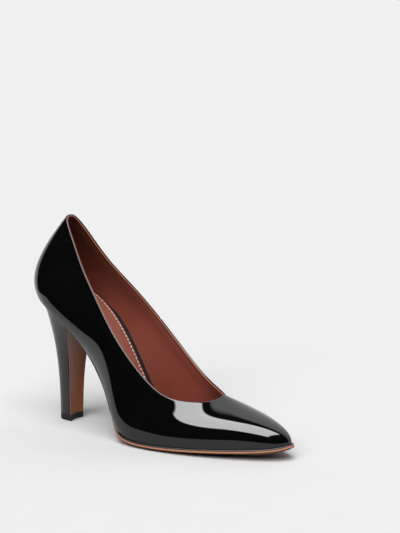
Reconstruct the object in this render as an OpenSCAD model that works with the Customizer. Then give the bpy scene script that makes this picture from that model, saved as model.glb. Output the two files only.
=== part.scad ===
// High-heeled court shoe, right foot, built up the way a lasted pump is made.
// Frame: +X toe, +Z up, +Y inner side of the foot, origin on the floor under the middle.

/* [Last] */
// Length of the sole from heel seat to toe tip
shoe_length = 232.5; // [220:0.5:245]
// Width over the ball of the foot
ball_width = 74; // [70:1:80]
// Height of the back edge above the floor
back_height = 166.5; // [160:0.5:172]

/* [Upper] */
// Thickness of the patent leather
upper_t = 1.2; // [1:0.1:1.4]
// Thickness of the stiffeners between leather and lining
core_t = 0.8; // [0.6:0.1:1]
// Thickness of the lining leather
lining_t = 0.9; // [0.7:0.1:1.1]
// Width of the leather folded under the insole
margin_w = 11; // [8:0.5:12]

/* [Bottom] */
// Thickness of the fibre shank board
shank_board_t = 1; // [0.8:0.1:1.2]
// Thickness of the insole board
insole_t = 1; // [0.8:0.1:1.2]
// Thickness of the foam under the sock
foam_t = 1.1; // [0.8:0.1:1.4]
// Thickness of the sock leather
sock_t = 0.8; // [0.6:0.1:1]
// Extra thickness of the foam under the heel
pad_t = 6.6; // [5:0.2:7]
// Distance of the sock edge from the feather line in the forepart
sock_inset = 4; // [3.6:0.1:5]
// How much nearer the feather line the sock edge runs under the heel
sock_spread = 2.5; // [2:0.1:2.5]
// Thickness of the black rand
rand_t = 1; // [0.8:0.1:1.2]
// Distance the sole edge stands out past the upper
sole_reach = 1; // [0.5:0.1:1.4]
// Thickness of the outsole at its edge
outsole_edge = 1.9; // [1.5:0.1:2.2]
// Width of the steel shank
shank_w = 11; // [9:1:12]

/* [Heel] */
// Length of the heel tip
tip_length = 14.8; // [13:0.2:17]
// Width of the heel tip
tip_width = 15.6; // [14:0.2:18]
// Thickness of the top lift
lift_t = 5; // [4:0.5:6]
// Thickness of the leather wrapped round the heel
cover_t = 0.8; // [0.6:0.1:1]
// Thickness of the leather on the heel breast
breast_t = 0.9; // [0.7:0.1:1.1]
// Diameter of the steel tube inside the heel
tube_d = 5; // [4:0.5:6]
// Diameter of the dowel that holds the top lift
dowel_d = 2.8; // [2.4:0.1:3]

/* [Hidden] */

patent = [0.04, 0.04, 0.045];
terracotta = [0.52, 0.22, 0.17];
salmon = [0.69, 0.37, 0.31];
tan_leather = [0.78, 0.5, 0.35];
brown_leather = [0.4, 0.24, 0.16];
fibre = [0.55, 0.45, 0.33];
steel = [0.66, 0.67, 0.69];

fit = 0.08;         // clearance between neighbouring pieces
kx = shoe_length / 232.5;
ky = ball_width / 74;
kz = back_height / 166.5;
centre = [-2.1 * kx, 2.9 * ky, 0];

// Twelve stations from the back seam to the toe tip. Each row holds the position along the
// shoe, the half width on the outer side, the half width on the inner side and the height.
feather = [
    [-115, 0, 0, 104], [-111, 14, 14, 103], [-94, 24.5, 24.5, 96], [-73, 25, 24.5, 84.5],
    [-51, 23.5, 20.5, 64.5], [-32.5, 25, 18, 35.5], [-20, 33.5, 24, 9], [0, 40.5, 33, 4.5],
    [43, 37.5, 35, 6], [86.5, 23.5, 23, 8.5], [114.5, 10, 9, 11], [121, 0, 0, 14.5]];
topline = [
    [-86, 0, 0, 166.5], [-85, 7, 7, 166.5], [-74.5, 11.5, 11.5, 152], [-60, 19, 17.5, 129],
    [-39.5, 27.5, 25.5, 108], [-20, 34.5, 31, 85.5], [3, 36, 32.5, 61.5], [24.5, 34.5, 30.5, 43],
    [40, 27, 23, 39.5], [51.5, 16.5, 13.5, 38.5], [58, 5.5, 5, 39.5], [59, 0, 0, 42.5]];
// Shape of the wall between the two lines at the same stations: rise and lean of the lower
// handle, lean and lift of the middle one, lean and drop of the upper one.
wall_shape = [
    [14.5, 7, 13, 1, 10, 10], [14.5, 7, 12, 0.5, 8.5, 11], [14.5, 5.5, 9.5, 0.5, 5.5, 12.5],
    [13.5, 5.5, 8, 0, 4, 12], [11, 5, 6.5, 0, 3, 10], [10, 5.5, 5, 0, 2.5, 10],
    [10, 4.5, 4, 0, 2.5, 11], [9, 2, 2, 1, 3, 12], [10, 0.5, 1.5, 4, 7, 12],
    [14.5, 0, 8, 4.5, 13, 12.5], [12, 0.5, 11.5, 1.5, 19, 9], [9, 0.5, 9, 4, 18, 4]];

rows = len(feather);
stations = 2 * rows - 2;
per_station = 4;
n = stations * per_station;
toe = n / 2;

function unit(v) = v / norm(v);
function mix(a, b, t) = a * (1 - t) + b * t;
function clamp(x, lo, hi) = min(max(x, lo), hi);
function ease(x, a, b) = let (t = clamp((x - a) / (b - a), 0, 1)) t * t * (3 - 2 * t);
function reversed(list) = [for (i = [len(list) - 1:-1:0]) list[i]];

// Stations run from the back seam down the outer side to the toe and back up the inner side.
function row(k) = k < rows ? k : stations - k;
function place_at(r, k) = [r[0] * kx, (k < rows ? -r[1] : r[2]) * ky, r[3] * kz];
feather_net = [for (k = [0:stations - 1]) place_at(feather[row(k)], k)];
topline_net = [for (k = [0:stations - 1]) place_at(topline[row(k)], k)];

function outward(k) =
    let (d = feather_net[(k + 1) % stations] - feather_net[(k + stations - 1) % stations])
    unit([d.y, -d.x, 0]);
function lower_handle(k) =
    let (w = wall_shape[row(k)])
    feather_net[k] + outward(k) * w[1] + [0, 0, w[0] * kz];
function middle_handle(k) =
    let (w = wall_shape[row(k)])
    (feather_net[k] + topline_net[k]) / 2 + outward(k) * w[2] + [0, 0, w[3] * kz];
function upper_handle(k) =
    let (w = wall_shape[row(k)])
    topline_net[k] + outward(k) * w[4] - [0, 0, w[5] * kz];

// Closed cubic B-spline through the net, sampled per_station times between stations.
function spline_point(p, k, f) =
    let (m = len(p), a = p[(k + m - 1) % m], b = p[k], c = p[(k + 1) % m], d = p[(k + 2) % m])
    (a * pow(1 - f, 3) + b * (3 * pow(f, 3) - 6 * f * f + 4)
        + c * (-3 * pow(f, 3) + 3 * f * f + 3 * f + 1) + d * pow(f, 3)) / 6;
function spline(p) = [for (k = [0:stations - 1]) for (j = [0:per_station - 1])
    spline_point(p, k, j / per_station)];

rail = [
    spline(feather_net),
    spline([for (k = [0:stations - 1]) lower_handle(k)]),
    spline([for (k = [0:stations - 1]) middle_handle(k)]),
    spline([for (k = [0:stations - 1]) upper_handle(k)]),
    spline(topline_net)];

// Outer face of the wall at sample i and height v, 0 on the feather line and 1 on the topline.
function wall_outer(i, v) =
    let (q = (i + n) % n, w = 1 - v)
    pow(w, 4) * rail[0][q] + 4 * v * pow(w, 3) * rail[1][q] + 6 * v * v * w * w * rail[2][q]
        + 4 * pow(v, 3) * w * rail[3][q] + pow(v, 4) * rail[4][q];
function wall_rise(i, v) =
    let (q = (i + n) % n, w = 1 - v)
    pow(w, 3) * (rail[1][q] - rail[0][q]) + 3 * v * w * w * (rail[2][q] - rail[1][q])
        + 3 * v * v * w * (rail[3][q] - rail[2][q]) + pow(v, 3) * (rail[4][q] - rail[3][q]);
function wall(i, v, depth) =
    wall_outer(i, v)
        - unit(cross(wall_outer(i + 1, v) - wall_outer(i - 1, v), wall_rise(i, v))) * depth;

// The stiffeners thin out towards the topline, where leather and lining come together.
tape_low = 0.87;
function core_at(v) = core_t * (1 - 0.55 * ease(v, tape_low - 0.02, 0.98));
function core_in(v) = upper_t + fit + core_at(v);
function lining_out(v) = core_in(v) + fit;
function lining_in(v) = lining_out(v) + lining_t;
foot_v = 0.06;      // lower edge of everything inside the upper

// Seat profile along the shoe and points on it, d above the feather line and square to it.
profile = [for (i = [0:toe]) [rail[0][i].x, rail[0][i].z]];
function seat_z(x) = lookup(x, profile);
function seat_tilt(x) = atan2(seat_z(x + 2) - seat_z(x - 2), 4);
function bed(x, y, d) = [x - d * sin(seat_tilt(x)), y, seat_z(x) + d * cos(seat_tilt(x))];

spine_back = -90 * kx;
spine_front = 95 * kx;
function under(i, inset, d, pad = 0) =
    let (p = rail[0][(i + n) % n],
         c = [clamp(p.x, spine_back, spine_front), 0],
         a = [p.x, p.y],
         s = a + unit(c - a) * min(inset, 0.48 * norm(c - a)))
    bed(s.x, s.y, d + pad * (1 - ease(s.x, -80 * kx, 25 * kx)));

// Solid through a list of rings. Side faces join ring to ring; a ring that is not wrapped is
// closed by strips joining point k to its mirror image, up to point m, then round the corner.
function fold(size, m) = let (h = size / 2) m > h - 2 ? [] : concat(
    [for (k = [0:h]) if (m + k + 1 < h - k)
        each [[m + k, m + k + 1, h - k], [size - m - k, h + k, size - m - k - 1]]],
    [for (k = [0:h]) if (m + k + 1 < h - k - 1)
        each [[m + k + 1, h - k - 1, h - k], [size - m - k - 1, h + k, h + k + 1]]]);
function cap(size, m) = concat(
    [for (k = [0:m - 1]) [k, k + 1, size - k - 1]],
    [for (k = [1:m - 1]) [k, size - k - 1, size - k]],
    [[m, size / 2, size - m]],
    fold(size, m));

module skin(rings, wrap = false, flip = false, corner = 0) {
    size = len(rings[0]);
    count = len(rings);
    m = corner > 0 ? corner : size / 2 - 1;
    last = (count - 1) * size;
    sides = [for (r = [0:wrap ? count - 1 : count - 2]) for (k = [0:size - 1])
        let (a = r * size, b = ((r + 1) % count) * size, j = (k + 1) % size)
        each [[a + k, b + k, b + j], [a + k, b + j, a + j]]];
    bottom = wrap ? [] : cap(size, m);
    top = wrap ? [] : [for (f = cap(size, m)) [f[2] + last, f[1] + last, f[0] + last]];
    faces = concat(sides, bottom, top);
    translate(centre)
        polyhedron([for (r = rings) each r], flip ? [for (f = faces) reversed(f)] : faces);
}

// Outline of a thin sheet from its two faces, with a rounded edge at both ends.
function rim(p, q, p1, q1) = (p + q) / 2 + unit(p + q - p1 - q1) * norm(p - q) * 0.25;
function sheet(a, b) =
    let (m = len(a) - 1)
    concat([rim(a[0], b[0], a[1], b[1])], a, [rim(a[m], b[m], a[m - 1], b[m - 1])], reversed(b));
function band(i, v0, v1, rows_v, outer, inner) =
    let (vs = [for (j = [0:rows_v]) mix(v0, v1, j / rows_v)])
    sheet([for (v = vs) wall(i, v, outer(v))], [for (v = vs) wall(i, v, inner(v))]);

core_face = function (v) upper_t + fit;
core_back = function (v) core_in(v);

// ---- upper ----

upper_levels = [0.12, 0.21, 0.31, 0.42, 0.53, 0.64, 0.75, 0.85, 0.93, 0.985];
function upper_section(i) =
    let (half = upper_t / 2, w = margin_w)
    sheet(
        concat([for (s = [w, 0.55 * w, 0.25 * w, 0.5]) under(i, s, -half)],
            [for (v = concat([0, 0.05], upper_levels)) wall(i, v, 0)]),
        concat([for (s = [w, 0.55 * w, 0.28 * w, 1.9]) under(i, s, half)],
            [for (v = concat([0.035, 0.06], upper_levels)) wall(i, v, upper_t)]));

// Sheet that goes once round the shoe and meets itself in a seam at sample s.
seam_step = 0.015;
function seamed(s, sections) = concat(
    [mix(sections[s], sections[s + 1], seam_step)],
    [for (i = [s + 1:s + n - 1]) sections[i % n]],
    [mix(sections[s], sections[s - 1], seam_step)]);

upper_seam = 17 * per_station;
module upper()
    color(patent)
    skin(seamed(upper_seam, [for (i = [0:n - 1]) upper_section(i)]), flip = true);

lining_seam = 22;
module lining()
    color(terracotta)
    skin(seamed(lining_seam, [for (i = [0:n - 1])
        band(i, foot_v, 0.985, 9, function (v) lining_out(v), function (v) lining_in(v))]),
        flip = true);

puff_half = 10;
module toe_puff()
    color(fibre)
    skin([for (i = [toe - puff_half:toe + puff_half])
        band(i, foot_v, 0.56 - 0.44 * pow((i - toe) / puff_half, 2), 4, core_face, core_back)],
        flip = true);

counter_half = 17;
module heel_counter()
    color(fibre)
    skin([for (i = [-counter_half:counter_half])
        band(i, foot_v, 0.8 - 0.3 * pow(i / counter_half, 2), 6, core_face, core_back)],
        flip = true);

stay_top = 0.84;
module stay(from, to)
    skin([for (i = [from:to]) band(i, foot_v, stay_top, 6, core_face, core_back)], flip = true);

module side_stays()
    color([0.85, 0.83, 0.78]) {
        stay(counter_half + 2, toe - puff_half - 1);
        stay(toe + puff_half + 1, upper_seam - 2);
    }

module seam_tape()
    color([0.2, 0.2, 0.22])
    stay(upper_seam - 1, upper_seam + 1);

module topline_tape()
    color([0.15, 0.15, 0.16])
    skin([for (i = [0:n - 1]) band(i, tape_low, 0.97, 2, core_face, core_back)],
        wrap = true, flip = true);

// ---- bottom ----

margin_top = upper_t / 2 + 0.1;
shank_board_top = margin_top + shank_board_t;
insole_low = shank_board_top + 0.1;
insole_top = insole_low + insole_t;
foam_low = insole_top + 0.1;
foam_top = foam_low + foam_t;
sock_low = foam_top + 0.05;
sock_top = sock_low + sock_t;
rand_top = -upper_t / 2 - 0.05;
rand_low = rand_top - rand_t;
outsole_top = rand_low - 0.05;
board_inset = 3.1;

function all_round(inset, d) = [for (i = [0:n - 1]) under(i, inset, d)];
function front_part(from, inset, bow, d) =
    let (a = under(from, inset, d), b = under(n - from, inset, d), m = (a + b) / 2)
    concat([m - [bow * cos(seat_tilt(a.x)), 0, bow * sin(seat_tilt(a.x))]],
        [for (i = [from:n - from]) under(i, inset, d)]);
function back_part(to, inset, bow, d) =
    let (a = under(to, inset, d), b = under(-to, inset, d), m = (a + b) / 2)
    concat([for (i = [0:to]) under(i, inset, d)],
        [m + [bow * cos(seat_tilt(a.x)), 0, bow * sin(seat_tilt(a.x))]],
        [for (i = [-to:-1]) under(i, inset, d)]);

// Heel fixings stand square to the seat.
seat_x = -88 * kx;
nail_places = [[-6, -8.5], [-6, 8.5], [7, -9], [7, 9]];
rivet_places = [-62 * kx, -38 * kx];
screw_d = 4;
screw_head_d = 8;
nail_d = 1.8;
nail_head_d = 4;
rivet_d = 3;
rivet_head_d = 5;
seat_a = seat_tilt(seat_x);
module on_seat(dx, y, d)
    let (p = bed(seat_x, 0, 0))
    translate(centre + p)
    rotate([0, -seat_a, 0])
    translate([dx, y, d])
    children();
module on_bed(x, d)
    translate(centre + bed(x, 0, d))
    rotate([0, -seat_tilt(x), 0])
    children();
module rod(d, low, high)
    translate([0, 0, low])
    cylinder(d = d, h = high - low, $fn = 32);

module insole_board()
    color([0.07, 0.065, 0.065])
    difference() {
        skin([
            [for (i = [0:n - 1])
                let (p = under(i, board_inset, 0))
                under(i, board_inset, insole_low - shank_board_t * ease(p.x, -6, 6))],
            all_round(board_inset, insole_top)]);
        on_seat(0, 0, 0)
            rod(screw_head_d + 0.5, insole_low - 2, insole_top + 2);
        for (q = nail_places)
            on_seat(q[0], q[1], 0)
                rod(nail_head_d + 0.4, insole_low - 2, insole_top + 2);
        for (x = rivet_places)
            on_bed(x, 0)
                rod(rivet_head_d + 0.5, insole_low - 2, insole_top + 2);
    }

board_end = 26;
module shank_board()
    color(fibre)
    difference() {
        skin([back_part(board_end, board_inset + 0.2, 4, margin_top),
            back_part(board_end, board_inset + 0.2, 4, shank_board_top)]);
        on_seat(0, 0, 0)
            rod(screw_d + 0.3, -1, 4);
        for (q = nail_places)
            on_seat(q[0], q[1], 0)
                rod(nail_d + 0.2, -1, 4);
        for (x = rivet_places)
            on_bed(x, 0)
                rod(rivet_d + 0.2, -1, 4);
    }

shank_from = -97 * kx;
shank_to = -14 * kx;
shank_steps = 18;
shank_low = -0.5;
shank_high = 0.5;
function shank_ring(d) =
    let (xs = [for (j = [0:shank_steps]) mix(shank_from, shank_to, j / shank_steps)],
         w = shank_w / 2)
    concat([bed(shank_from - 4, 0, d)], [for (x = xs) bed(x, -w, d)],
        [bed(shank_to + 4, 0, d)], [for (x = reversed(xs)) bed(x, w, d)]);
module shank()
    color(steel)
    difference() {
        skin([shank_ring(shank_low), shank_ring(shank_high)]);
        on_seat(0, 0, 0)
            rod(screw_d + 0.4, -2, 2);
        for (x = rivet_places)
            on_bed(x, 0)
                rod(rivet_d + 0.2, -2, 2);
    }

module shank_rivets()
    color(steel)
    for (x = rivet_places)
        on_bed(x, 0) {
            rod(rivet_head_d, shank_low - 0.75, shank_low - 0.1);
            rod(rivet_d, shank_low - 0.2, shank_board_top + 0.2);
            rod(rivet_head_d, shank_board_top + 0.12, shank_board_top + 0.8);
        }

filler_from = 25;
module bottom_filler()
    color([0.6, 0.42, 0.27])
    skin([front_part(filler_from, margin_w + 0.7, 2, rand_low + 0.05),
        front_part(filler_from, margin_w + 0.7, 2, upper_t / 2)]);

// The foam is thicker under the heel, so the sock lies higher and a little wider there.
function sock_edge(i) =
    sock_inset - sock_spread * (1 - ease(rail[0][(i + n) % n].x, -20 * kx, 30 * kx));
function sock_point(i, inset, d, pad = pad_t) = under(i, sock_edge(i) + inset, d, pad);
function sock_ring(inset, d, pad = pad_t) = [for (i = [0:n - 1]) sock_point(i, inset, d, pad)];

module sock_foam()
    color([0.9, 0.86, 0.7])
    skin([sock_ring(0.5, foam_low, 0), sock_ring(0.5, foam_top)]);

thread_in = 2.1;
groove = 0.25;
module sock()
    color(salmon)
    skin([
        sock_ring(0, sock_low),
        sock_ring(0, sock_top - 0.25),
        sock_ring(0.3, sock_top),
        sock_ring(thread_in - 0.45, sock_top),
        sock_ring(thread_in - 0.25, sock_top - groove),
        sock_ring(thread_in + 0.25, sock_top - groove),
        sock_ring(thread_in + 0.45, sock_top)]);

module sock_thread()
    color([0.86, 0.62, 0.54])
    skin([for (i = [0:n - 1]) [
        sock_point(i, thread_in + 0.2, sock_top - groove + 0.05),
        sock_point(i, thread_in - 0.2, sock_top - groove + 0.05),
        sock_point(i, thread_in - 0.2, sock_top + 0.1),
        sock_point(i, thread_in + 0.2, sock_top + 0.1)]], wrap = true, flip = true);

// The sole edge shows round the forepart and is pared back under the waist.
sole_start = 12;
waist_x = -17 * kx;
function waist(x) = 1 - ease(x, waist_x - 7, waist_x + 7);
function sole_inset(i) = mix(-sole_reach, 3, waist(rail[0][(i + n) % n].x));
module rand()
    color([0.05, 0.05, 0.05])
    skin([for (i = [sole_start + 1:n - sole_start - 1])
        let (s = sole_inset(i) - 0.1)
        sheet([under(i, s + 7, rand_low), under(i, s + 0.3, rand_low)],
            [under(i, s + 7, rand_top), under(i, s + 0.3, rand_top)])], flip = true);

sole_drop = 5.5;
function outsole_point(i, inset, d) =
    let (s = sole_inset(i),
         w = waist(rail[0][(i + n) % n].x),
         p = under(i, s + inset, mix(d, 0.5 * d - 1.2, w)))
    [p.x, p.y, max(p.z, 0)];
function outsole_ring(inset, d) =
    let (a = outsole_point(sole_start, inset, d), b = outsole_point(n - sole_start, inset, d))
    concat([(a + b) / 2 - [0.5, 0, 0]],
        [for (i = [sole_start:n - sole_start]) outsole_point(i, inset, d)]);
module outsole()
    color(tan_leather)
    skin([
        outsole_ring(11, -sole_drop),
        outsole_ring(4, -sole_drop + 0.9),
        outsole_ring(0.4, outsole_top - outsole_edge),
        outsole_ring(0, outsole_top - outsole_edge + 0.4),
        outsole_ring(0, outsole_top)]);

// ---- heel ----

// Back edge, front edge and half width of the heel from its tip up to the seat.
heel_back = [-95.2, -95.6, -96, -109];
heel_front = [-80.4, -80.2, -79.6, -74.5];
heel_half = [7.8, 8.5, 9.5, 21];
function bez(p, t) =
    p[0] * pow(1 - t, 3) + 3 * p[1] * t * pow(1 - t, 2) + 3 * p[2] * t * t * (1 - t) + p[3] * pow(t, 3);
seat_gap = -upper_t / 2 - 0.1;
heel_low = lift_t + 0.05;
side_steps = 12;
front_steps = 6;
levels = 12;
function heel_z(x, h) =
    let (t = seat_z(x) + seat_gap / cos(seat_tilt(x)))
    heel_low + h * (t - heel_low);
function notch(h) = 1.6 + 1.2 * h;
function heel_size(h) =
    let (tip = 1 - h,
         xf = bez(heel_front, h) * kx,
         xb = bez(heel_back, h) * kx,
         grow = (tip_length - (heel_front[0] - heel_back[0]) * kx) * tip,
         w = bez(heel_half, h) * ky + (tip_width / 2 - heel_half[0] * ky) * tip)
    [xb - grow, xf, w];
function heel_side(h, side_in, front_in) =
    let (s = heel_size(h), xb = s[0] + side_in, xf = s[1] - front_in, w = s[2] - side_in)
    [for (j = [0:side_steps])
        let (a = 90 * j / side_steps)
        [xf - (xf - xb) * pow(cos(a), 0.8), -w * pow(sin(a), 0.9)]];
function heel_breast(h, side_in, front_in, steps) =
    let (s = heel_size(h), w = s[2] - side_in)
    [for (j = [0:2 * steps])
        let (y = w * (j / steps - 1))
        [s[1] - front_in - notch(h) * (1 - pow(y / s[2], 2)), y]];
function flip_y(list) = [for (p = reversed(list)) [p.x, -p.y]];
function both_sides(half) = concat(flip_y(half), slice(half, 1, len(half) - 1));
function slice(list, a, b) = [for (i = [a:b]) list[i]];
function lift_up(list, h) = [for (p = list) [p.x, p.y, heel_z(p.x, h)]];
function heel_outline(h, side_in, front_in) =
    let (side = heel_side(h, side_in, front_in),
         front = heel_breast(h, side_in, front_in, front_steps))
    concat(side, slice(front, 1, 2 * front_steps - 1), slice(flip_y(side), 0, side_steps - 1));

function heel_levels() = [for (j = [0:levels]) j / levels];
tube_x = -88 * kx;
tube_top = 66 * kz;
screw_len = 16;
nail_len = 9;
module heel_core()
    color([0.75, 0.74, 0.7])
    difference() {
        skin([for (h = heel_levels())
            lift_up(heel_outline(h, cover_t + fit, breast_t + 2 * fit), h)],
            corner = side_steps - 1);
        translate(centre + [tube_x, 0, 0])
            rod(tube_d + 0.1, 0, tube_top + 0.5);
        on_seat(0, 0, 0)
            rod(screw_d + 0.1, -screw_len - 0.5, 2);
        for (q = nail_places)
            on_seat(q[0], q[1], 0)
                rod(nail_d + 0.1, -nail_len - 0.5, 2);
    }

module heel_cover()
    color(patent)
    skin([for (h = heel_levels())
        let (outer = heel_side(h, 0, breast_t + 2 * fit),
             inner = heel_side(h, cover_t, breast_t + 2 * fit))
        lift_up(sheet(both_sides(outer), both_sides(inner)), h)]);

module breast_flap()
    color(brown_leather)
    skin([for (h = heel_levels())
        lift_up(sheet(heel_breast(h, 0, 0, front_steps), heel_breast(h, 0, breast_t, front_steps)), h)]);

module heel_tube()
    color(steel)
    translate(centre + [tube_x, 0, 0])
    difference() {
        rod(tube_d, heel_low + 0.1, tube_top);
        rod(dowel_d + 0.1, 0, tube_top + 1);
    }

module heel_screw()
    color(steel)
    on_seat(0, 0, 0) {
        rod(screw_d, -screw_len, shank_board_top + 0.2);
        rod(screw_head_d, shank_board_top + 0.12, insole_top - 0.15);
    }

module heel_nails()
    color(steel)
    for (q = nail_places)
        on_seat(q[0], q[1], 0) {
            rod(nail_d, -nail_len, shank_board_top + 0.2);
            rod(nail_head_d, shank_board_top + 0.15, insole_top - 0.25);
        }

dowel_low = 1.5;
dowel_top = 22;
module top_lift()
    color([0.06, 0.06, 0.06])
    difference() {
        translate(centre)
            linear_extrude(lift_t)
            polygon(heel_outline(0, 0, 0));
        translate(centre + [tube_x, 0, 0])
            rod(dowel_d + 0.1, dowel_low - 0.1, lift_t + 1);
    }

module lift_dowel()
    color(steel)
    translate(centre + [tube_x, 0, 0])
    rod(dowel_d, dowel_low, dowel_top);

upper();
lining();
toe_puff();
heel_counter();
side_stays();
seam_tape();
topline_tape();
insole_board();
shank_board();
shank();
shank_rivets();
bottom_filler();
sock_foam();
sock();
sock_thread();
rand();
outsole();
breast_flap();
heel_core();
heel_cover();
heel_tube();
heel_screw();
heel_nails();
top_lift();
lift_dowel();
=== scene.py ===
import math

import bmesh
import bpy
import mathutils
import numpy as np
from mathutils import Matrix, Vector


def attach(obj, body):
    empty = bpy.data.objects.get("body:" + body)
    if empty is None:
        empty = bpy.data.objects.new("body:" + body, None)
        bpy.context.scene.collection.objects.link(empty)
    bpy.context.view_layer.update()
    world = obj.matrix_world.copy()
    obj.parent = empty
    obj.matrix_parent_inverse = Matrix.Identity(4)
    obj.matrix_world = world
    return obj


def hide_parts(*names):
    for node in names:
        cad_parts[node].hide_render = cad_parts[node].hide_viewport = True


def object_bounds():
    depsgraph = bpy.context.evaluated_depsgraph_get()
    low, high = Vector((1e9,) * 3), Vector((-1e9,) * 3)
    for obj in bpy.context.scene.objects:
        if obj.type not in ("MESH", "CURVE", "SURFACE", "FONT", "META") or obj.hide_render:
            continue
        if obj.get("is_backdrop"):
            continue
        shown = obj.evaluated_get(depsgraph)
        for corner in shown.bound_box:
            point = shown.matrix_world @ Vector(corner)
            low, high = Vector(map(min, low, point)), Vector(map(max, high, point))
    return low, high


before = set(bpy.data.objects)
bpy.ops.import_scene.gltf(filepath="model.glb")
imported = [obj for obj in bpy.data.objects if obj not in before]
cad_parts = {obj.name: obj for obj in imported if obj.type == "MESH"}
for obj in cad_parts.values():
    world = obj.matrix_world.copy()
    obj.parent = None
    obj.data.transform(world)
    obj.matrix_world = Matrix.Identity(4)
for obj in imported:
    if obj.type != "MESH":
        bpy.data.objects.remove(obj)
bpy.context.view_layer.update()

# ---------------------------------------------------------------- insole board
# The black fibre board that the shoe is built on, nailed to the last first of all. Upper, foam
# and sock close it in, so its shape and place are those of the frame.

MM = 0.001


class Wire:
    """A socket in a material. Sums and products of wires add the nodes that work them out."""

    def __init__(self, tree, socket):
        self.tree, self.socket = tree, socket

    def node(self, kind, settings=None, sockets=None, output=0):
        """Adds a node: first its settings, then the values or wires of its sockets."""
        made = self.tree.nodes.new(kind)
        for name, value in (settings or {}).items():
            setattr(made, name, value)
        for name, value in (sockets or {}).items():
            if isinstance(value, Wire):
                self.tree.links.new(value.socket, made.inputs[name])
            else:
                made.inputs[name].default_value = value
        return Wire(self.tree, made.outputs[output])

    def maths(self, operation, first, second):
        """Adds a Math node."""
        return self.node("ShaderNodeMath", {"operation": operation}, {0: first, 1: second})

    def __add__(self, other):
        return self.maths("ADD", self, other)

    def __radd__(self, other):
        return self.maths("ADD", other, self)

    def __sub__(self, other):
        return self.maths("SUBTRACT", self, other)

    def __rsub__(self, other):
        return self.maths("SUBTRACT", other, self)

    def __mul__(self, other):
        return self.maths("MULTIPLY", self, other)

    def __rmul__(self, other):
        return self.maths("MULTIPLY", other, self)


def new_finish(name, **even):
    """A material, the wire of its object coordinates, and even values on its shader."""
    material = bpy.data.materials.new(name)
    material.use_nodes = True
    shader = material.node_tree.nodes["Principled BSDF"]
    for socket, value in even.items():
        shader.inputs[socket.replace("_", " ")].default_value = value
    spot = material.node_tree.nodes.new("ShaderNodeTexCoord").outputs["Object"]
    return material, Wire(material.node_tree, spot)


def lay(material, **wires):
    """Leads wires to the sockets of a material's shader."""
    shader = material.node_tree.nodes["Principled BSDF"]
    for socket, wire in wires.items():
        material.node_tree.links.new(wire.socket, shader.inputs[socket.replace("_", " ")])


def noise(spot, scale, detail=3.0, rough=0.5):
    """Cloudy value from 0 to 1, with this many patches to the metre."""
    return spot.node("ShaderNodeTexNoise", {},
                     {"Vector": spot, "Scale": scale, "Detail": detail, "Roughness": rough})


def shade(spot, amount, dark, light):
    """Colour between two, by an amount from 0 to 1."""
    return spot.node("ShaderNodeMix", {"data_type": "RGBA"},
                     {0: amount, 6: (*dark, 1), 7: (*light, 1)}, output=2)


def bump(spot, height, depth):
    """Normal of a height from 0 to 1 over a depth in millimetres."""
    return spot.node("ShaderNodeBump", {}, {"Strength": 1.0, "Distance": depth * MM, "Height": height})


def repaint(node, material):
    """A piece of the frame whose shape is right gets its own finish."""
    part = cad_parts[node]
    part.data.materials.clear()
    part.data.materials.append(material)


def fibre_finish(name, dark, light):
    """Pressed fibre: dull, with flecks of two shades and a fine tooth."""
    material, spot = new_finish(name, Specular_IOR_Level=0.3)
    flecks = noise(spot, 900, 4, 0.7)
    lay(material, Base_Color=shade(spot, flecks, dark, light), Roughness=0.75 + flecks * 0.2,
        Normal=bump(spot, noise(spot, 2500, 2), 0.05))
    return material


repaint("insole_board", fibre_finish("black_fibreboard", (0.006, 0.006, 0.006), (0.014, 0.013, 0.012)))

# ---------------------------------------------------------------- shank board, shank and rivets
# Pressed-fibre half board under the heel and waist, with the steel shank riveted to it. They
# are closed in for good once the shoe is lasted, so the frame's own shapes stay.

repaint("shank_board", fibre_finish("pressed_fibre", (0.28, 0.19, 0.11), (0.42, 0.32, 0.20)))


def steel_finish(name, roughness):
    """Bare steel with a faint rolled grain."""
    material, spot = new_finish(name, Metallic=1.0)
    grain = noise(spot, 700, 5, 0.6)
    lay(material, Base_Color=shade(spot, grain, (0.42, 0.43, 0.45), (0.60, 0.61, 0.62)),
        Roughness=roughness + grain * 0.15, Normal=bump(spot, grain, 0.01))
    return material


plain_steel = steel_finish("plain_steel", 0.32)
repaint("shank", plain_steel)
repaint("shank_rivets", plain_steel)

# ---------------------------------------------------------------- lining
# Smooth terracotta leather in one piece, closed by a seam on the outer side of the waist.
# Its upper edge is cut raw and inked in an orange brown that shows along the topline.

# Position along the shoe, outer half width, inner half width and height of the feather line
# at twelve stations from the back seam to the toe tip, in millimetres.
FEATHER = [
    (-115, 0, 0, 104), (-111, 14, 14, 103), (-94, 24.5, 24.5, 96), (-73, 25, 24.5, 84.5),
    (-51, 23.5, 20.5, 64.5), (-32.5, 25, 18, 35.5), (-20, 33.5, 24, 9), (0, 40.5, 33, 4.5),
    (43, 37.5, 35, 6), (86.5, 23.5, 23, 8.5), (114.5, 10, 9, 11), (121, 0, 0, 14.5)]
STATIONS = 2 * len(FEATHER) - 2
TOE = len(FEATHER) - 1


def both_sides(rows):
    """Net points at every station, down the outer side and back up the inner side."""
    net = []
    for k in range(STATIONS):
        along, outer, inner, height = rows[min(k, STATIONS - k)]
        net.append((along, -outer if k <= TOE else inner, height))
    return np.array(net, float)


def spline(net, at, turn=False):
    """Closed cubic B-spline through the net at station positions, or its direction."""
    k = np.floor(at).astype(int)
    f = (at - k)[:, None]
    a, b, c, d = (net[(k + o) % len(net)] for o in (-1, 0, 1, 2))
    if turn:
        return (-a * (1 - f) ** 2 + b * (3 * f * f - 4 * f) + c * (1 + 2 * f - 3 * f * f) + d * f * f) / 2
    return (a * (1 - f) ** 3 + b * (3 * f ** 3 - 6 * f * f + 4)
            + c * (1 + 3 * f + 3 * f * f - 3 * f ** 3) + d * f ** 3) / 6


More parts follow.
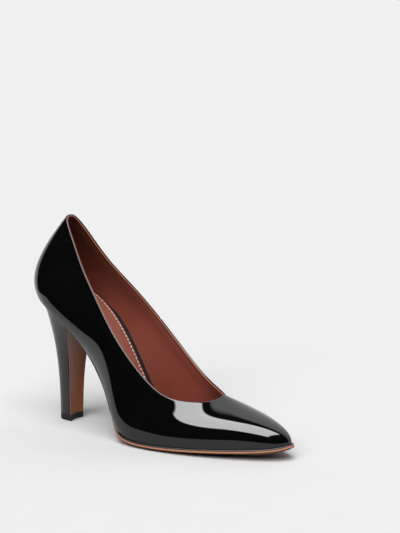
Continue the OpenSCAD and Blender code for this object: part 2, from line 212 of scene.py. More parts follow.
# Position along the shoe, outer half width, inner half width and height of the topline.
TOPLINE = [
    (-86, 0, 0, 166.5), (-85, 7, 7, 166.5), (-74.5, 11.5, 11.5, 152), (-60, 19, 17.5, 129),
    (-39.5, 27.5, 25.5, 108), (-20, 34.5, 31, 85.5), (3, 36, 32.5, 61.5), (24.5, 34.5, 30.5, 43),
    (40, 27, 23, 39.5), (51.5, 16.5, 13.5, 38.5), (58, 5.5, 5, 39.5), (59, 0, 0, 42.5)]
# Rise and lean of the wall's lower handle, lean and lift of the middle one, lean and drop of
# the upper one, at the same stations.
WALL = [
    (14.5, 7, 13, 1, 10, 10), (14.5, 7, 12, 0.5, 8.5, 11), (14.5, 5.5, 9.5, 0.5, 5.5, 12.5),
    (13.5, 5.5, 8, 0, 4, 12), (11, 5, 6.5, 0, 3, 10), (10, 5.5, 5, 0, 2.5, 10),
    (10, 4.5, 4, 0, 2.5, 11), (9, 2, 2, 1, 3, 12), (10, 0.5, 1.5, 4, 7, 12),
    (14.5, 0, 8, 4.5, 13, 12.5), (12, 0.5, 11.5, 1.5, 19, 9), (9, 0.5, 9, 4, 18, 4)]
UPPER_T, LINING_T = 1.2, 0.9

feather_net = both_sides(FEATHER)
topline_net = both_sides(TOPLINE)
side = np.roll(feather_net, -1, 0) - np.roll(feather_net, 1, 0)
out = np.stack([side[:, 1], -side[:, 0], 0 * side[:, 0]], -1)
out /= np.linalg.norm(out, axis=1)[:, None]
wall = np.array([WALL[min(k, STATIONS - k)] for k in range(STATIONS)], float)
up = np.array([0.0, 0.0, 1.0])
rails = [
    feather_net,
    feather_net + out * wall[:, 1:2] + up * wall[:, 0:1],
    (feather_net + topline_net) / 2 + out * wall[:, 2:3] + up * wall[:, 3:4],
    topline_net + out * wall[:, 4:5] - up * wall[:, 5:6],
    topline_net]


def side_wall(at, levels, depth):
    """Points of the shoe's wall at stations and levels, depth millimetres inside its face."""
    v = np.asarray(levels, float)
    w = 1 - v
    share = np.stack([w ** 4, 4 * v * w ** 3, 6 * v * v * w * w, 4 * v ** 3 * w, v ** 4])
    rise = np.stack([w ** 3, 3 * v * w * w, 3 * v * v * w, v ** 3])
    lines = np.array([spline(r, at) for r in rails])
    turns = np.array([spline(r, at, True) for r in rails])
    face = np.einsum("kj,kic->ijc", share, lines)
    along = np.einsum("kj,kic->ijc", share, turns)
    climb = np.einsum("kj,kic->ijc", rise, lines[1:] - lines[:-1])
    square = np.cross(along, climb)
    square /= np.linalg.norm(square, axis=-1)[..., None]
    return face - square * np.broadcast_to(depth, face.shape[:2])[..., None]


def around(per, seam):
    """Station positions once round the shoe, closer together at a seam."""
    near = np.array([0.015, 0.035, 0.06, 0.1, 0.16])
    at = set(np.round(np.arange(STATIONS * per) / per, 4))
    at |= set(np.round(seam + np.concatenate([-near, [0], near]), 4))
    return np.array(sorted(at))


def rim(outer, inner, before, steps):
    """Half-round edge from the last column of one face to the last column of the other."""
    middle = (outer + inner) / 2
    half = outer - middle
    ahead = (outer + inner - before[0] - before[1]) / 2
    ahead *= (np.linalg.norm(half, axis=1) / np.linalg.norm(ahead, axis=1))[:, None]
    turn = np.linspace(0, math.pi, steps + 2)[1:-1]
    return np.stack([middle + half * math.cos(t) + ahead * math.sin(t) for t in turn], 1)


MIDDLE = np.array([-2.1, 2.9, 0.0])      # puts the origin under the middle of the shoe


def solid(name, points, faces, sharp=40, marks=None):
    """Piece from points in millimetres, faces turned outward, smooth except over sharp edges."""
    mesh = bpy.data.meshes.new(name)
    mesh.from_pydata((np.asarray(points, float).reshape(-1, 3) + MIDDLE) * MM, [], faces)
    if marks is not None:
        mesh.polygons.foreach_set("material_index", marks)
    work = bmesh.new()
    work.from_mesh(mesh)
    bmesh.ops.remove_doubles(work, verts=work.verts, dist=1e-6)
    bmesh.ops.recalc_face_normals(work, faces=work.faces)
    work.to_mesh(mesh)
    work.free()
    mesh.polygons.foreach_set("use_smooth", [True] * len(mesh.polygons))
    mesh.set_sharp_from_angle(angle=math.radians(sharp))
    piece = bpy.data.objects.new(name, mesh)
    bpy.context.scene.collection.objects.link(piece)
    return piece


def build(name, rings, closed=True, slots=None):
    """Piece from rings of points, the last joined to the first or both ends closed."""
    count, size = rings.shape[:2]
    faces, marks = [], []
    for r in range(count if closed else count - 1):
        a, b = r * size, ((r + 1) % count) * size
        for j in range(size):
            i = (j + 1) % size
            faces.append((a + j, b + j, b + i, a + i))
            marks.append(slots[j] if slots else 0)
    if not closed:
        faces.append(tuple(range(size)))
        faces.append(tuple((count - 1) * size + k for k in range(size))[::-1])
        marks += [0, 0]
    return solid(name, rings, faces, marks=marks)


def fit_on(piece, node, slot, *materials):
    """Puts a piece in place of a node of the frame, with its finishes."""
    for material in materials:
        piece.data.materials.append(material)
    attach(piece, "root")
    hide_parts(node)
    return piece


def held(value):
    """Value held between 0 and 1."""
    return value.node("ShaderNodeClamp", {}, {"Value": value})


def leather_grain(spot, size):
    """Fine pebble of smooth leather: soft cells with creases, and pores."""
    cells = spot.node("ShaderNodeTexVoronoi", {"feature": "SMOOTH_F1"},
                      {"Vector": spot, "Scale": 1000 / size, "Smoothness": 0.6})
    return cells * 0.6 + noise(spot, 2600 / size, 3) * 0.4


LINING_SEAM = 5.5
CORE_T = 0.96      # room for stiffeners and stays between lining and upper
GLUE_T = 0.03
levels = np.linspace(0.06, 0.985, 64)
at = around(10, LINING_SEAM)
# The lining closes up to the upper above the stiffeners, and dips along its seam between two
# low ridges.
close = 1 - 0.93 * np.clip((levels - 0.86) / 0.1, 0, 1)
outer_depth = UPPER_T + GLUE_T + CORE_T * close
gap = np.minimum(np.abs(at - LINING_SEAM), 1)[:, None]
crease = 0.45 * np.exp(-(gap / 0.022) ** 2) - 0.16 * np.exp(-((gap - 0.09) / 0.05) ** 2)
outer = side_wall(at, levels, outer_depth)
inner = side_wall(at, levels, outer_depth + LINING_T - crease)
LIP, FOOT = 5, 3      # points round the upper and the lower edge
lip = rim(outer[:, -1], inner[:, -1], (outer[:, -2], inner[:, -2]), LIP)
foot = rim(inner[:, 0], outer[:, 0], (inner[:, 1], outer[:, 1]), FOOT)
rings = np.concatenate([outer, lip, inner[:, ::-1], foot], 1)
face_strips = len(levels) - 1
slots = [0] * face_strips + [1] * (LIP + 1) + [0] * (face_strips + FOOT + 1)

lining_skin, spot = new_finish("terracotta_leather", Specular_IOR_Level=0.36)
mottle = noise(spot, 60, 3)
grain = leather_grain(spot, 0.9)
along = spot.node("ShaderNodeSeparateXYZ", {}, {"Vector": spot})
height = spot.node("ShaderNodeSeparateXYZ", {}, {"Vector": spot}, output=2)
# Painted shade: the lining is coloured darker toward the topline, where less light reaches into the shoe,
# and lighter lower down; the mottle varies it at random.
painted_light_low_on_wall = 1 - held((height + along * 0.87 - 0.045) * 24)
painted_light_and_mottle = painted_light_low_on_wall * (0.75 + mottle * 0.5)
lay(lining_skin, Base_Color=shade(spot, painted_light_and_mottle, (0.024, 0.0056, 0.0036), (0.108, 0.0245, 0.0150)),
    Roughness=0.31 + grain * 0.14, Normal=bump(spot, grain, 0.03))
lining_cut, spot = new_finish("inked_orange_edge", Specular_IOR_Level=0.4)
fuzz = noise(spot, 1500, 3)
lay(lining_cut, Base_Color=shade(spot, fuzz, (0.135, 0.038, 0.019), (0.195, 0.058, 0.029)),
    Roughness=0.45 + fuzz * 0.2, Normal=bump(spot, fuzz, 0.05))
fit_on(build("lining_leather", rings, slots=slots), "lining", "lining_leather", lining_skin, lining_cut)

# ---------------------------------------------------------------- stiffeners and tapes
# Toe puff and heel counter are impregnated felt, shaped with the upper on the last. The side
# stays are woven backing, and tapes hold the seam and the topline. All lie inside the wall.


def woven_finish(name, dark, light, pitch):
    """Plain weave: bands across and along, with the threads' pitch in millimetres."""
    material, spot = new_finish(name, Specular_IOR_Level=0.2, Sheen_Weight=0.2)
    weave = spot.node("ShaderNodeTexWave", {"wave_type": "BANDS", "bands_direction": "X"},
                      {"Vector": spot, "Scale": 300 / pitch, "Distortion": 0.4})
    cross = spot.node("ShaderNodeTexWave", {"wave_type": "BANDS", "bands_direction": "Z"},
                      {"Vector": spot, "Scale": 300 / pitch, "Distortion": 0.4})
    cloth = weave * cross
    lay(material, Base_Color=shade(spot, cloth, dark, light), Roughness=0.9 - cloth * 0.15,
        Normal=bump(spot, cloth, 0.08))
    return material


felt = fibre_finish("impregnated_felt", (0.46, 0.42, 0.33), (0.62, 0.58, 0.48))
repaint("toe_puff", felt)
repaint("heel_counter", felt)
repaint("side_stays", woven_finish("woven_backing", (0.50, 0.48, 0.43), (0.72, 0.70, 0.65), 0.8))
black_tape = woven_finish("black_tape", (0.012, 0.012, 0.013), (0.03, 0.03, 0.032), 0.6)
repaint("seam_tape", black_tape)
repaint("topline_tape", black_tape)

# ---------------------------------------------------------------- upper
# One piece of black patent leather, folded back along the topline and closed by a plain seam
# on the inner side of the waist. Its lower margin is pulled over the insole and cemented.

seat_line = spline(feather_net, np.linspace(0, TOE, 400))
seat_slope = np.gradient(seat_line[:, 2], seat_line[:, 0])
seat_slope = np.convolve(np.pad(seat_slope, 6, "edge"), np.ones(13) / 13, "valid")


def ease(x, start, end):
    """Smooth step from 0 at the start to 1 at the end."""
    t = np.clip((x - start) / (end - start), 0, 1)
    return t * t * (3 - 2 * t)


def bed(x, y, rise):
    """Points over the seat line, rise millimetres square to it."""
    tilt = np.arctan(np.interp(x, seat_line[:, 0], seat_slope))
    z = np.interp(x, seat_line[:, 0], seat_line[:, 2])
    return np.stack([x - rise * np.sin(tilt), y + 0 * x, z + rise * np.cos(tilt)], -1)


SPINE = -90, 95          # ends of the middle line that insets are measured towards
PAD_FADE = -80, 25       # where a heel pad starts to thin, and where it ends


def under(at, inset, rise, pad=0):
    """Points inside the feather line by an inset, on the bottom of the shoe or a heel pad."""
    edge = spline(feather_net, at)[:, :2]
    spine = np.stack([np.clip(edge[:, 0], *SPINE), 0 * edge[:, 0]], -1)
    way = spine - edge
    far = np.maximum(np.linalg.norm(way, axis=1), 1e-6)[:, None]
    inset = np.broadcast_to(np.asarray(inset, float), at.shape)[:, None]
    spot = edge + way / far * np.minimum(inset, 0.48 * far)
    return bed(spot[:, 0], spot[:, 1], rise + pad * (1 - ease(spot[:, 0], *PAD_FADE)))


UPPER_SEAM = 17.0
MARGIN_W = 11
levels = np.concatenate([[0, 0.012, 0.025], np.linspace(0.04, 0.985, 84)])
at = around(12, UPPER_SEAM)
# The seam is a fine valley between two low ridges, and runs out at the feather edge.
gap = np.minimum(np.abs(at - UPPER_SEAM), 1)[:, None]
valley = 0.5 * np.exp(-(gap / 0.016) ** 2) - 0.10 * np.exp(-((gap - 0.07) / 0.03) ** 2)
above_fold = np.clip(levels / 0.06, 0, 1)
outer = side_wall(at, levels, valley * above_fold)
inner_levels = np.concatenate([[0.035, 0.05], levels[6:]])
inner = side_wall(at, inner_levels, UPPER_T)
fold = rim(outer[:, -1], inner[:, -1], (outer[:, -2], inner[:, -2]), 7)
low = [(w, -0.6) for w in (MARGIN_W, 8.5, 6, 4, 2.2, 1.1, 0.55)] + [(0.22, -0.42), (0.05, -0.2)]
high = [(MARGIN_W, 0.6), (8, 0.6), (5, 0.6), (3, 0.6), (1.9, 0.6)]
tuck = np.stack([under(at, w, d) for w, d in low], 1)
lap = np.stack([under(at, w, d) for w, d in high], 1)
rings = np.concatenate([tuck, outer, fold, inner[:, ::-1], lap[:, ::-1]], 1)

patent, spot = new_finish("black_patent", Specular_IOR_Level=0.0, Coat_Weight=1.0, Coat_Roughness=0.012,
                          Coat_IOR=1.5)
drift = noise(spot, 62, 2, 0.4)
orange_peel = noise(spot, 320, 2, 0.4)
lay(patent, Base_Color=shade(spot, drift, (0.0008, 0.0008, 0.0009), (0.0014, 0.0014, 0.0015)),
    Roughness=0.05 + orange_peel * 0.05, Normal=bump(spot, drift * 0.93 + orange_peel * 0.07, 0.09))
fit_on(build("patent_upper", rings), "upper", "patent_leather", patent)

# ---------------------------------------------------------------- bottom filler
# Granulated cork in resin, trowelled level between the edges of the upper's margin. The sole
# hides it, so the frame's shape stays.

cork, spot = new_finish("granulated_cork", Specular_IOR_Level=0.2)
grit = spot.node("ShaderNodeTexVoronoi", {"feature": "F1"}, {"Vector": spot, "Scale": 700.0})
lay(cork, Base_Color=shade(spot, grit, (0.40, 0.25, 0.13), (0.16, 0.08, 0.04)),
    Roughness=0.8 + grit * 0.15, Normal=bump(spot, 1 - grit, 0.2))
repaint("bottom_filler", cork)

# ---------------------------------------------------------------- rand
# A thin strip of black waxed leather round the forepart, between upper and sole. It stands
# out by a millimetre and draws the dark line above the sole edge.

RAND_TOP, RAND_T, REACH, WAIST_IN = -0.65, 1.0, 1.0, 3.0


def waist(at):
    """0 round the forepart and 1 from the waist to the heel."""
    return ease(spline(feather_net, at)[:, 0], -10, -24)


def sole_inset(at):
    """The sole stands out round the forepart and draws in under the waist."""
    return -REACH + (WAIST_IN + REACH) * waist(at)


def bow(depths, proud):
    """Rounded face between two depths: pairs of inset and rise."""
    turn = np.linspace(-math.pi / 2, math.pi / 2, 9)
    middle, half = (depths[0] + depths[1]) / 2, (depths[0] - depths[1]) / 2
    return [(-proud * math.cos(t), middle + half * math.sin(t)) for t in turn]


SOLE_START, RAND_START = 3.0, 3.25      # stations where sole and rand start, on both sides
RAND_W, RAND_IN = 7, 0.25               # width, and how far its edge lies inside the sole's
RAND_LOW = RAND_TOP - RAND_T
at = np.linspace(RAND_START, STATIONS - RAND_START, 260)
inset = sole_inset(at) + RAND_IN
outline = [(RAND_W, RAND_LOW)] + bow((RAND_TOP, RAND_LOW), 0.35) + [(RAND_W, RAND_TOP)]
rings = np.stack([under(at, inset + w, d) for w, d in outline], 1)
rand_skin, spot = new_finish("black_waxed_leather", Specular_IOR_Level=0.5)
wax = noise(spot, 900, 3)
lay(rand_skin, Base_Color=shade(spot, wax, (0.006, 0.006, 0.006), (0.013, 0.012, 0.012)),
    Roughness=0.32 + wax * 0.2, Normal=bump(spot, wax, 0.03))
fit_on(build("rand_strip", rings, closed=False), "rand", "rand_leather", rand_skin)

# ---------------------------------------------------------------- outsole
# Tan sole leather, cemented on, with a square edge round the forepart that is pared thin under
# the waist. The edge is burnished, and its broken lower corner is coloured black as painted shade.

SOLE_TOP, SOLE_EDGE, SOLE_DROP = -1.7, 1.9, 5.5
NARROW = 26
at = np.linspace(SOLE_START, STATIONS - SOLE_START, 300)


def sole_ring(inset, drop):
    """Line round the sole; insets shrink where the sole is narrower than twice NARROW."""
    pared = waist(at)
    depth = drop * (1 - pared) + (0.5 * drop - 1.2) * pared
    edge = spline(feather_net, at)
    room = np.hypot(edge[:, 0] - np.clip(edge[:, 0], *SPINE), edge[:, 1])
    ring = under(at, sole_inset(at) + inset * np.minimum(room / NARROW, 1), 0)
    ring = bed(ring[:, 0], ring[:, 1], depth)
    ring[:, 2] = np.maximum(ring[:, 2], 0)
    return ring


low = SOLE_TOP - SOLE_EDGE
profile = [(11, -SOLE_DROP), (9, -5.4), (7, -5.2), (5.4, -4.95), (4, -4.6), (2.6, -4.28),
           (1.4, -3.97), (0.7, -3.77), (0.32, low), (0.1, low + 0.18), (0, low + 0.42),
           (0, low + 0.68), (0, -2.6), (0, SOLE_TOP - 0.3), (0.06, SOLE_TOP - 0.1),
           (0.25, SOLE_TOP), (6, SOLE_TOP)]
PAINTED_SHADE_STRIPS = 7, 11      # strips of the profile coloured black as painted shade: the broken lower corner of the edge
rings = np.stack([sole_ring(w, d) for w, d in profile], 0)


def strips(count, size):
    """Faces between rings stacked one on another, each ring closed."""
    return [(r * size + j, r * size + (j + 1) % size, (r + 1) * size + (j + 1) % size, (r + 1) * size + j)
            for r in range(count - 1) for j in range(size)]


def plate(name, rings, sharp=40, shade_strips=(0, 0)):
    """Closed slab from rings stacked upward; its two faces are strips across the shoe."""
    count, size = rings.shape[:2]
    top = (count - 1) * size
    faces = strips(count, size)
    marks = [int(shade_strips[0] <= r < shade_strips[1]) for r in range(count - 1) for j in range(size)]
    for j in range(size // 2 - 1 + size % 2):
        a, b, c, d = j, j + 1, size - 2 - j, size - 1 - j
        if b < c:
            faces.append((a, d, c, b))
            faces.append((top + a, top + b, top + c, top + d))
        elif b == c:
            faces.append((a, d, b))
            faces.append((top + a, top + b, top + d))
    return solid(name, rings, faces, sharp, marks + [0] * (len(faces) - len(marks)))


sole_skin, spot = new_finish("tan_sole_leather", Specular_IOR_Level=0.45)
layers = spot.node("ShaderNodeMapping", {}, {"Vector": spot, "Scale": (60, 60, 1600)})
streaks = noise(layers, 1.0, 3)
cloud = noise(spot, 45, 3)
tan = shade(spot, streaks * 0.5 + cloud * 0.5, (0.200, 0.082, 0.040), (0.280, 0.121, 0.062))
lay(sole_skin, Base_Color=tan, Roughness=0.30 + cloud * 0.25, Normal=bump(spot, streaks, 0.03))
# Painted shade: the broken lower corner of the edge is coloured black to stand for the shade along the
# bottom of the sole edge.
sole_edge_painted_shade, spot = new_finish("black_painted_shade_edge", Specular_IOR_Level=0.3)
smear = noise(spot, 700, 3)
lay(sole_edge_painted_shade, Base_Color=shade(spot, smear, (0.006, 0.005, 0.005), (0.014, 0.011, 0.010)),
    Roughness=0.45 + smear * 0.25, Normal=bump(spot, smear, 0.03))
outsole = plate("sole_leather", rings, shade_strips=PAINTED_SHADE_STRIPS)
fit_on(outsole, "outsole", "sole_leather", sole_skin, sole_edge_painted_shade)

# ---------------------------------------------------------------- heel core and fixings
# Moulded plastic heel on a steel tube, screwed and nailed through the seat from inside. All
# of it is covered, so the frame's shapes stay.

plastic, spot = new_finish("moulded_plastic", Specular_IOR_Level=0.5)
flow = noise(spot, 90, 3)
lay(plastic, Base_Color=shade(spot, flow, (0.48, 0.47, 0.43), (0.58, 0.57, 0.53)),
    Roughness=0.4 + flow * 0.2, Normal=bump(spot, noise(spot, 1800, 2), 0.02))
repaint("heel_core", plastic)
repaint("heel_tube", steel_finish("tube_steel", 0.25))
repaint("heel_screw", plain_steel)
repaint("heel_nails", plain_steel)

# ---------------------------------------------------------------- heel cover
# The same patent leather, stretched over the back and sides of the heel and trimmed along
# the two front corners, where it meets the breast leather.

# Handles of the curves up the heel, from the top lift to the seat: back line, front corners
# and half width.
HEEL_BACK, HEEL_FRONT = (-95.2, -95.6, -96, -109), (-80.4, -80.2, -79.6, -74.5)
HEEL_HALF = 7.8, 8.5, 9.5, 21
LIFT_T, COVER_T, BREAST_T = 5.0, 0.8, 0.9
SEAT_UNDER = 0.7       # from the feather line down to the top of the heel


def bez(p, t):
    """Cubic curve of one measure, from four handles."""
    return p[0] * (1 - t) ** 3 + 3 * p[1] * t * (1 - t) ** 2 + 3 * p[2] * t * t * (1 - t) + p[3] * t ** 3


def heel_side(h, inside, short, steps=36):
    """Half outline from the back round to the outer front corner."""
    back, front = bez(HEEL_BACK, h) + inside, bez(HEEL_FRONT, h) - short
    half = bez(HEEL_HALF, h) - inside
    a = np.linspace(0, math.pi / 2, steps + 1)
    return np.stack([front - (front - back) * np.cos(a) ** 0.8, -half * np.sin(a) ** 0.9], -1)


def raise_to(flat, h):
    """Lifts a flat outline to a share of the height between the top lift and the seat."""
    low = LIFT_T + 0.05
    tilt = np.arctan(np.interp(flat[:, 0], seat_line[:, 0], seat_slope))
    seat = np.interp(flat[:, 0], seat_line[:, 0], seat_line[:, 2]) - SEAT_UNDER / np.cos(tilt)
    return np.column_stack([flat, low + h * (seat - low)])


def mirrored(half):
    """Whole outline from its outer half."""
    return np.concatenate([half[::-1] * [1, -1], half[1:]])


END = 3      # points round each cut end of a sheet


def thin_ring(outer, inner):
    """Outline of a sheet seen on edge, with both ends rounded."""
    one = rim(outer[None, -1], inner[None, -1], (outer[None, -2], inner[None, -2]), END)[0]
    two = rim(inner[None, 0], outer[None, 0], (inner[None, 1], outer[None, 1]), END)[0]
    return np.concatenate([outer, one, inner[::-1], two])


def thin_stack(name, rings):
    """Sheet standing on edge, from its outlines stacked upward, closed below and above."""
    rings = np.asarray(rings)
    count, size = rings.shape[:2]
    half = size // 2 - END
    faces = strips(count, size)
    for base, turn in ((0, -1), ((count - 1) * size, 1)):
        for j in range(half - 1):
            quad = (j, j + 1, 2 * half + 1 - j, 2 * half + 2 - j)
            faces.append(tuple(base + q for q in quad[::turn]))
        far_end = tuple(range(half - 1, half + END + 1))
        near_end = tuple(range(size - END - 1, size)) + (0,)
        for end in (far_end, near_end):
            faces.append(tuple(base + q for q in end[::turn]))
    return solid(name, rings, faces)


heights = np.linspace(0, 1, 70)
rings = []
for h in heights:
    face, back = (raise_to(mirrored(heel_side(h, w, BREAST_T + 0.12)), h) for w in (0, COVER_T))
    rings.append(thin_ring(face, back))
fit_on(thin_stack("patent_heel_cover", rings), "heel_cover", "patent_leather", patent)

# ---------------------------------------------------------------- heel breast
# Brown leather on the hollow front of the heel, cut flush with the corners of the cover. The
# raw cut edge is duller and a little darker than the face.


def heel_breast(h, short, steps=30):
    """Hollow front outline from corner to corner; it is hollowed more toward the seat."""
    half = bez(HEEL_HALF, h)
    y = np.linspace(-half, half, steps + 1)
    hollow = 1.6 + 1.2 * h
    return np.stack([bez(HEEL_FRONT, h) - short - hollow * (1 - (y / half) ** 2), y], -1)


rings = []
for h in heights:
    face, back = (raise_to(heel_breast(h, w), h) for w in (0, BREAST_T))
    rings.append(thin_ring(face, back))
breast_skin, spot = new_finish("brown_breast_leather", Specular_IOR_Level=0.22)
stretch = spot.node("ShaderNodeMapping", {}, {"Vector": spot, "Scale": (260, 260, 30)})
streaks = noise(stretch, 1.0, 3)
fine = leather_grain(spot, 0.7)
lay(breast_skin, Base_Color=shade(spot, streaks, (0.125, 0.038, 0.014), (0.185, 0.060, 0.023)),
    Roughness=0.27 + fine * 0.15, Normal=bump(spot, streaks * 0.4 + fine * 0.6, 0.03))
breast = thin_stack("breast_leather", rings)
breast_cut, spot = new_finish("raw_breast_edge", Specular_IOR_Level=0.35)
fuzz = noise(spot, 1400, 3)
lay(breast_cut, Base_Color=shade(spot, fuzz, (0.10, 0.035, 0.015), (0.14, 0.050, 0.023)),
    Roughness=0.5 + fuzz * 0.2, Normal=bump(spot, fuzz, 0.04))
fit_on(breast, "breast_flap", "breast_leather", breast_skin, breast_cut)
for face in breast.data.polygons:
    if abs(face.normal.y) > 0.8 and abs(face.normal.z) < 0.6:
        face.material_index = 1

# ---------------------------------------------------------------- top lift and dowel
# Moulded black rubber piece with the heel's own outline, held by a steel dowel pressed into
# the tube. Its edge is buffed dull, and its lower edge is broken by a small bevel.


def lift_ring(inside, z):
    """The heel's own outline at its foot, taken in a little."""
    side = heel_side(0, inside, inside)
    front = heel_breast(0, inside)[1:-1] * [1, 1 - inside / 8]
    flat = np.concatenate([side, front, (side[1:] * [1, -1])[::-1]])
    return np.column_stack([flat, np.full(len(flat), z)])


rubber, spot = new_finish("black_rubber", Specular_IOR_Level=0.2)
dull = noise(spot, 1300, 3)
lay(rubber, Base_Color=shade(spot, dull, (0.004, 0.004, 0.004), (0.009, 0.009, 0.009)),
    Roughness=0.5 + dull * 0.25, Normal=bump(spot, dull, 0.04))
profile = [(0.35, 0), (0.12, 0.1), (0, 0.35), (0, 1.5), (0, 3), (0, 4.7), (0.1, 4.93), (0.3, LIFT_T)]
rings = np.stack([lift_ring(w, z) for w, z in profile])
count, size = rings.shape[:2]
caps = [range(size)[::-1], range((count - 1) * size, count * size)]
faces = strips(count, size) + [tuple(cap) for cap in caps]
fit_on(solid("rubber_top_lift", rings, faces), "top_lift", "lift_rubber", rubber)
repaint("lift_dowel", plain_steel)

# ---------------------------------------------------------------- foam and sock
# Black latex foam under a salmon leather sock, laid in last and glued down. The sock stops
# short of the lining, and the foam's rolled edge stands up in that gap under heel and waist.

SOCK_INSET, SOCK_SPREAD, PAD_T = 4.0, 2.5, 6.6
FOAM_LOW, FOAM_T, SOCK_LOW, SOCK_T = 2.9, 1.1, 4.05, 0.8


def rear(at):
    """1 under heel and waist, 0 in the forepart."""
    return 1 - ease(spline(feather_net, at)[:, 0], -20, 30)


def sock_line(at, inset, rise, pad=PAD_T):
    """Line at an inset from the sock's edge; the sock is wider and higher under the heel."""
    return under(at, SOCK_INSET - SOCK_SPREAD * rear(at) + inset, rise, pad)


at = (np.arange(STATIONS * 12) + 0.5) / 12
# Inset, rise and share of the heel pad round the foam's edge, from below. Insets under FLUSH
# and rises over the foam's own thickness are the rolled edge, which fades toward the forepart.
FLUSH = 0.5
profile = [(0.9, 0, 0), (0.6, 0.15, 0), (0.4, 0.4, 0.2), (-0.4, 0.6, 0.5), (-1.6, 0.75, 0.8),
           (-2.1, 0.95, 1), (-2.35, 1.8, 1), (-2.45, 2.7, 1), (-2.3, 3.1, 1), (-2.0, 3.15, 1),
           (-1.75, 2.9, 1), (-1.4, 1.9, 1), (-0.9, 1.25, 1), (-0.3, FOAM_T, 1), (1.5, FOAM_T, 1)]
rings = []
for inset, rise, share in profile:
    rolled = rear(at)
    level = min(rise, FOAM_T)
    spread = FLUSH + (inset - FLUSH) * (rolled if inset < FLUSH else 1)
    rings.append(sock_line(at, spread, FOAM_LOW + level + (rise - level) * rolled, PAD_T * share))
foam_skin, spot = new_finish("black_latex_foam", Specular_IOR_Level=0.15)
pores = spot.node("ShaderNodeTexVoronoi", {"feature": "F1"}, {"Vector": spot, "Scale": 1800.0})
lay(foam_skin, Base_Color=shade(spot, pores, (0.004, 0.004, 0.004), (0.010, 0.010, 0.010)),
    Roughness=0.85 + pores * 0.1, Normal=bump(spot, pores, 0.12))
foam = plate("latex_foam_sheet", np.stack(rings))
fit_on(foam, "sock_foam", "foam", foam_skin)

STITCH_IN = 2.1
top = SOCK_LOW + SOCK_T
groove = [(STITCH_IN + w, top - d) for w, d in
          ((-0.65, 0), (-0.35, 0.05), (-0.2, 0.2), (0, 0.25), (0.2, 0.2), (0.35, 0.05), (0.7, 0))]
profile = [(0.25, SOCK_LOW), (0.05, SOCK_LOW + 0.15), (0, SOCK_LOW + 0.4), (0.08, top - 0.2),
           (0.3, top - 0.05), (0.6, top)] + groove + [(4.5, top), (7, top)]
sock = plate("leather_sock", np.stack([sock_line(at, w, d) for w, d in profile]), 50)
sock_skin, spot = new_finish("salmon_leather", Specular_IOR_Level=0.3)
mottle = noise(spot, 70, 3)
grain = leather_grain(spot, 0.8)
lay(sock_skin, Base_Color=shade(spot, mottle, (0.132, 0.038, 0.027), (0.170, 0.053, 0.038)),
    Roughness=0.34 + grain * 0.18, Normal=bump(spot, grain, 0.04))
fit_on(sock, "sock", "sock_leather", sock_skin)

# ---------------------------------------------------------------- stitching of the sock
# Waxed thread in a groove just inside the sock's edge, sewn before the sock is laid in. It
# shows as a row of single stitches, each one a short bow that dips at both ends.

STITCH, SKIP, THREAD = 2.3, 0.95, 0.34      # length, gap and half thickness
BOW, POINTS, SPANS = 0.16, 8, 6
trace = np.linspace(0, STATIONS, 4001)
line = sock_line(trace, STITCH_IN, top)
side_line = sock_line(trace, STITCH_IN + 0.5, top)
run = np.concatenate([[0], np.cumsum(np.linalg.norm(np.diff(line, axis=0), axis=1))])
count = int(run[-1] / (STITCH + SKIP))
shares = np.linspace(0, 1, SPANS + 1)
points, faces = [], []
for s in range(count):
    start = s * run[-1] / count
    spots = np.stack([np.interp(start + shares * STITCH, run, line[:, c]) for c in range(3)], -1)
    middle = start + 0.5 * STITCH
    across = np.array([np.interp(middle, run, (side_line - line)[:, c]) for c in range(3)])
    across /= np.linalg.norm(across)
    ahead = spots[-1] - spots[0]
    ahead /= np.linalg.norm(ahead)
    upward = np.cross(ahead, across)
    upward *= math.copysign(1, upward[2])
    base = len(points)
    for share, place in zip(shares, spots):
        swell = math.sqrt(max(1 - (2 * share - 1) ** 4, 0.05))
        centre = place + upward * (0.02 + BOW * math.sin(math.pi * share))
        for k in range(POINTS):
            turn = 2 * math.pi * k / POINTS
            around_it = across * math.cos(turn) + upward * math.sin(turn) * 0.8
            points.append(centre + around_it * THREAD * swell)
    caps = [range(POINTS - 1, -1, -1), range(SPANS * POINTS, (SPANS + 1) * POINTS)]
    for face in strips(SPANS + 1, POINTS) + caps:
        faces.append(tuple(base + corner for corner in face))
thread, spot = new_finish("waxed_thread", Specular_IOR_Level=0.4)
ply = spot.node("ShaderNodeTexWave", {"wave_type": "BANDS", "bands_direction": "DIAGONAL"},
                {"Vector": spot, "Scale": 900.0, "Distortion": 0.5})
lay(thread, Base_Color=shade(spot, ply, (0.52, 0.34, 0.29), (0.74, 0.55, 0.48)),
    Roughness=0.5 + ply * 0.1, Normal=bump(spot, ply, 0.05))
fit_on(solid("sock_stitches", points, faces), "sock_thread", "sock_thread", thread)

# ---------------------------------------------------------------- studio
# Pale floor, a white backdrop behind it, one large soft light high on the outer side, and a
# dark room in front. Backdrop, light and room are all parts of the surroundings, which are set
# by direction.

paper, spot = new_finish("pale_floor", Specular_IOR_Level=0.0)
tooth = noise(spot, 30, 2)
lay(paper, Base_Color=shade(spot, tooth, (0.296, 0.296, 0.296), (0.303, 0.303, 0.303)),
    Roughness=0.95 + tooth * 0.05)


def floor_part(name, corners):
    """Flat part of the floor, from its corners in metres."""
    mesh = bpy.data.meshes.new(name)
    mesh.from_pydata([(x, y, 0) for x, y in corners], [], [tuple(range(len(corners)))])
    part = bpy.data.objects.new(name, mesh)
    bpy.context.scene.collection.objects.link(part)
    mesh.materials.append(paper)
    part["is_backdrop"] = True
    return part


FAR = 12.0
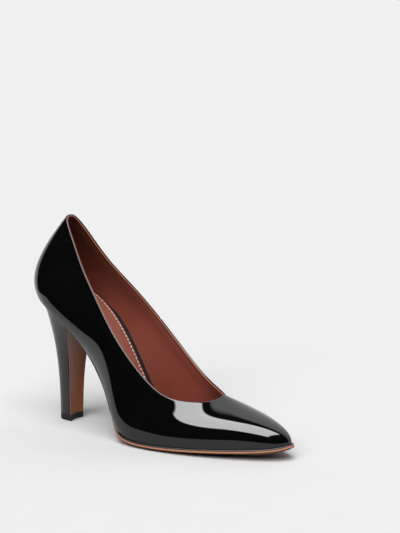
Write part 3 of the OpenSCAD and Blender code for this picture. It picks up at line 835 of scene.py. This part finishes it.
# The floor in front of this line is not mirrored in the patent leather, which keeps it dark.
TABLE_EDGE = [(-FAR, 0.05), (-0.50, 0.05), (-0.43, -0.17), (-0.27, -0.135), (-0.20, -0.105),
              (-0.15, -0.085), (-0.10, -0.078), (-0.05, -0.088), (0.03, -0.125), (FAR, -0.125)]
floor_part("table", TABLE_EDGE + [(FAR, FAR), (-FAR, FAR)])
apron = floor_part("apron", [(-FAR, -FAR), (FAR, -FAR)] + TABLE_EDGE[::-1])
apron.visible_glossy = False

world = bpy.data.worlds.new("room")
bpy.context.scene.world = world
world.use_nodes = True
sky = world.node_tree
way = Wire(sky, sky.nodes.new("ShaderNodeTexCoord").outputs["Generated"])
east, north, high = (way.node("ShaderNodeSeparateXYZ", {}, {"Vector": way}, k) for k in range(3))


def step(value, start, end):
    """Smooth step of a wire, from 0 at the start to 1 at the end."""
    return value.node("ShaderNodeMapRange", {"interpolation_type": "SMOOTHSTEP"},
                      {0: value, 1: start, 2: end, 3: 0.0, 4: 1.0})


BACK_TURN = math.radians(10)      # the backdrop is turned a little from the shoe's own line
ROOM, KEY = 0.010, 12.0           # radiance of the dark room and of the soft light
behind = north * math.cos(BACK_TURN) + east * -math.sin(BACK_TURN)
backdrop = step(behind, 0.18, 0.25) * (0.8 + high * 0.9)
key = (step(east, -0.24, -0.18) * (1 - step(east, 0.48, 0.53)) * (1 - step(north, 0.0, 0.05))
       * step(north - east * 0.42, -0.955, -0.905) * step(high, 0.33, 0.38))
radiance = ROOM + backdrop + key * KEY
sky.links.new(radiance.socket, sky.nodes["Background"].inputs["Strength"])
sky.nodes["Background"].inputs["Color"].default_value = (1, 1, 1, 1)

# Camera with a long lens, on the outer side toward the toe and a little above the shoe.
VIEW_AZ, VIEW_EL = math.radians(33.7), math.radians(11.5)
AWAY, FOCAL, FRAME = 1471, 128.53283, 36
ahead = np.array([math.sin(VIEW_AZ), -math.cos(VIEW_AZ), 0])
right = np.array([math.cos(VIEW_AZ), math.sin(VIEW_AZ), 0])
back = ahead * math.cos(VIEW_EL) + up * math.sin(VIEW_EL)
above = np.cross(back, right)
aim = 60 * up + 31.5 * right + 72.5 * above
lens = bpy.data.cameras.new("camera")
lens.sensor_width = FRAME
lens.lens = FOCAL
camera = bpy.data.objects.new("camera", lens)
bpy.context.scene.collection.objects.link(camera)
camera.location = (aim + AWAY * back + MIDDLE) * MM
camera.rotation_mode = "QUATERNION"
camera.rotation_quaternion = mathutils.Vector(-back).to_track_quat("-Z", "Y")
bpy.context.scene.camera = camera
bpy.context.scene.view_settings.view_transform = "Standard"

low, high_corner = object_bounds()
